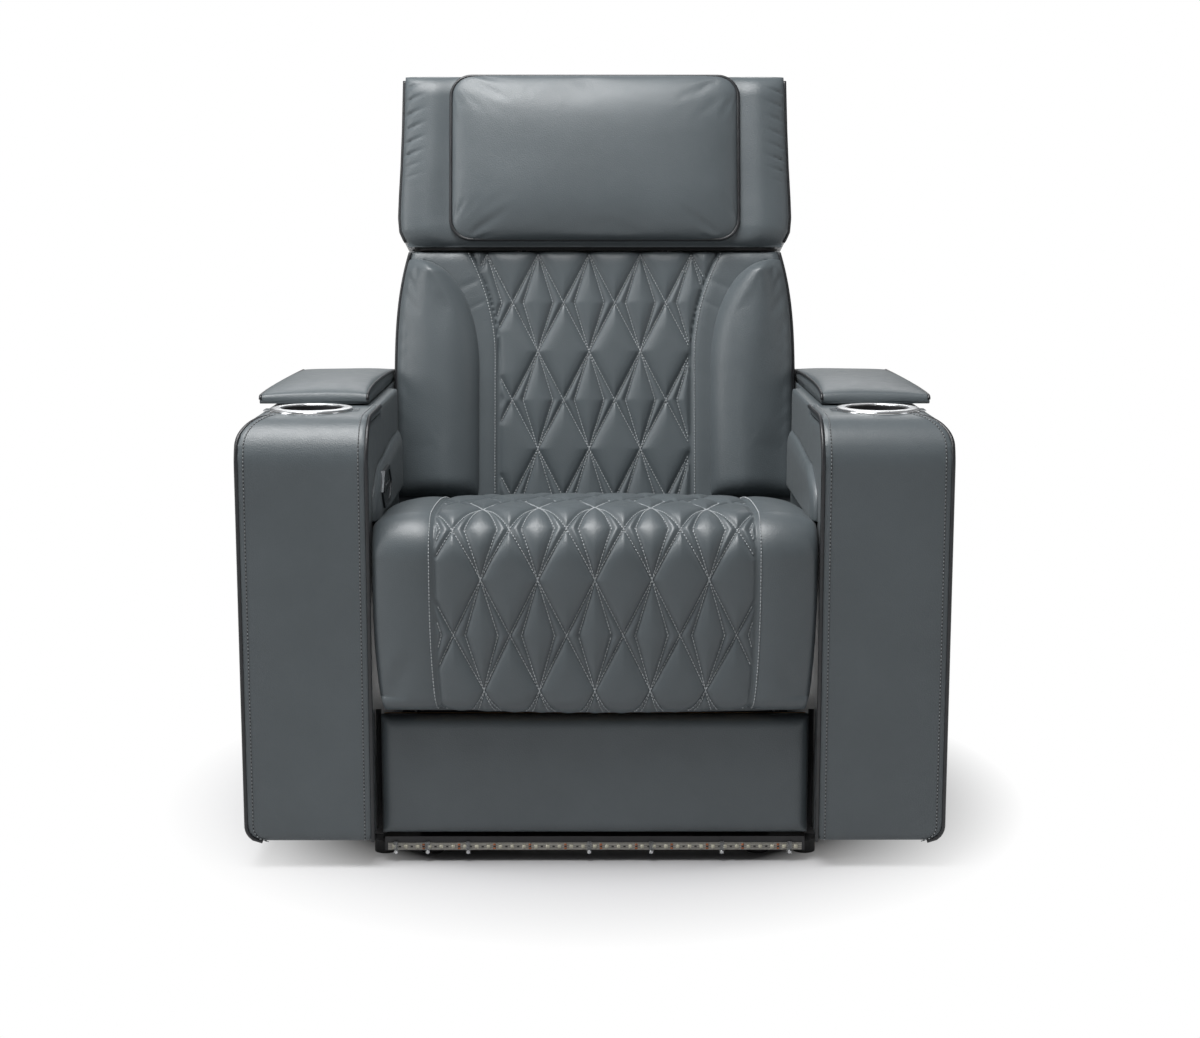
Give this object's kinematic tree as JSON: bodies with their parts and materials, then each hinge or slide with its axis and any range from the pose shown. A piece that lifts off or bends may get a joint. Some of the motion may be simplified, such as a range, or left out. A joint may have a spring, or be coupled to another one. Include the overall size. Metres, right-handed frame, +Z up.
{
  "type": "cinema recliner seat",
  "caption": "Powered cinema recliner seat with quilted leather padding, wide arms with cup holders and storage lids, a hidden footrest, a reclining back and a tilting head section.",
  "frame": {"origin": "on the floor under the middle of the whole seat's box", "axes": "+Z up, -Y toward the front that the sitter's legs point to, +X to the seen right arm (the sitter's left)"},
  "size_m": [0.96, 0.8418, 1.0986],
  "materials": {
    "leather": "smooth semi-gloss grey-blue leather",
    "leather_rear": "smooth grey-blue leather, plain",
    "plywood": "raw plywood",
    "black_steel": "black powder coat",
    "dark_steel": "dark grey powder coat",
    "bright_steel": "polished steel",
    "zinc_steel": "zinc plated",
    "bronze": "sintered bronze",
    "black_plastic": "fine matt texture",
    "strip": "satin flexible circuit strip",
    "clear_plastic": "clear moulded plastic",
    "webbing": "woven elastic webbing"
  },
  "bodies": {
    "base": {"base_frame": "black_steel", "floor_glides": "black_plastic", "light_carrier": "black_steel", "light_strip": "strip", "light_clips": "clear_plastic", "power_supply": "black_plastic", "side_plates": "dark_steel", "cross_tubes": "dark_steel", "hinge_bushes": "bronze", "back_hinge_pins": "zinc_steel", "actuator_brackets": "dark_steel", "seat_front_board": "plywood", "seat_springs": "zinc_steel", "seat_cushion": "leather", "arm_frame_left": "plywood", "arm_frame_right": "plywood", "arm_front_left": "leather", "arm_front_right": "leather", "arm_outer_left": "leather", "arm_outer_right": "leather", "arm_inner_left": "leather", "arm_inner_right": "leather", "arm_bolster_left": "leather", "arm_bolster_right": "leather", "cup_left": "bright_steel", "cup_right": "bright_steel", "bin_left": "black_plastic", "bin_right": "black_plastic", "lid_hinge_left": "zinc_steel", "lid_hinge_right": "zinc_steel", "control_bezel": "bright_steel"},
    "lid_left": {"lid_tray_left": "black_plastic", "lid_pad_left": "leather"},
    "lid_right": {"lid_tray_right": "black_plastic", "lid_pad_right": "leather"},
    "button_1": {"button_1": "bright_steel"},
    "button_2": {"button_2": "bright_steel"},
    "button_3": {"button_3": "bright_steel"},
    "button_4": {"button_4": "bright_steel"},
    "legrest": {"leg_tube": "dark_steel", "leg_goosenecks": "dark_steel", "leg_board": "plywood", "leg_pad": "leather"},
    "leg_motor": {"leg_motor": "black_plastic"},
    "leg_rod": {"leg_rod": "zinc_steel"},
    "back_motor": {"back_motor": "black_plastic"},
    "back_rod": {"back_rod": "zinc_steel"},
    "back": {"back_frame": "plywood", "back_webbing": "webbing", "back_brackets": "dark_steel", "back_cushion": "leather", "back_bolsters": "leather", "back_cover": "leather_rear", "head_pivot": "zinc_steel"},
    "head": {"head_frame": "dark_steel", "head_shell": "leather_rear", "head_cushion": "leather", "head_pillow": "leather"}
  },
  "joints": [
    {"name": "leg_hinge", "type": "hinge", "parent": "base", "child": "legrest", "pos_m": [0, -0.36087, 0.34], "axis": [-1, 0, 0], "range_deg": [0, 90]},
    {"name": "back_hinge", "type": "hinge", "parent": "base", "child": "back", "pos_m": [0, 0.09913, 0.335], "axis": [-1, 0, 0], "range_deg": [0, 45]},
    {"name": "head_hinge", "type": "hinge", "parent": "back", "child": "head", "pos_m": [0, 0.18601, 0.8304], "axis": [1, 0, 0], "range_deg": [0, 30]},
    {"name": "lid_left_hinge", "type": "hinge", "parent": "base", "child": "lid_left", "pos_m": [-0.3835, 0.22513, 0.627], "axis": [-1, 0, 0], "range_deg": [0, 85]},
    {"name": "lid_right_hinge", "type": "hinge", "parent": "base", "child": "lid_right", "pos_m": [0.3835, 0.22513, 0.627], "axis": [-1, 0, 0], "range_deg": [0, 85]},
    {"name": "leg_motor_pivot", "type": "hinge", "parent": "base", "child": "leg_motor", "pos_m": [-0.06, -0.00087, 0.2], "axis": [1, 0, 0], "range_deg": [0, 14.8]},
    {"name": "leg_rod_slide", "type": "slide", "parent": "leg_motor", "child": "leg_rod", "axis": [0, -0.9005, 0.4348], "range_m": [0, 0.0448]},
    {"name": "back_motor_pivot", "type": "hinge", "parent": "base", "child": "back_motor", "pos_m": [0.06, -0.19087, 0.15], "axis": [1, 0, 0], "range_deg": [0, 2.2]},
    {"name": "back_rod_slide", "type": "slide", "parent": "back_motor", "child": "back_rod", "axis": [0, -0.9676, -0.2524], "range_m": [0, 0.0833]},
    {"name": "button_1_press", "type": "slide", "parent": "base", "child": "button_1", "axis": [-1, 0, 0], "range_m": [0, 0.0015], "stiffness_N_per_m": 400},
    {"name": "button_2_press", "type": "slide", "parent": "base", "child": "button_2", "axis": [-1, 0, 0], "range_m": [0, 0.0015], "stiffness_N_per_m": 400},
    {"name": "button_3_press", "type": "slide", "parent": "base", "child": "button_3", "axis": [-1, 0, 0], "range_m": [0, 0.0015], "stiffness_N_per_m": 400},
    {"name": "button_4_press", "type": "slide", "parent": "base", "child": "button_4", "axis": [-1, 0, 0], "range_m": [0, 0.0015], "stiffness_N_per_m": 400}
  ],
  "couplings": [
    {"joint": "leg_motor_pivot", "follows": "leg_hinge", "ratio": 0.16407},
    {"joint": "leg_rod_slide", "follows": "leg_hinge", "m_per_rad": 0.028468},
    {"joint": "back_motor_pivot", "follows": "back_hinge", "ratio": 0.04804},
    {"joint": "back_rod_slide", "follows": "back_hinge", "m_per_rad": 0.10592}
  ]
}
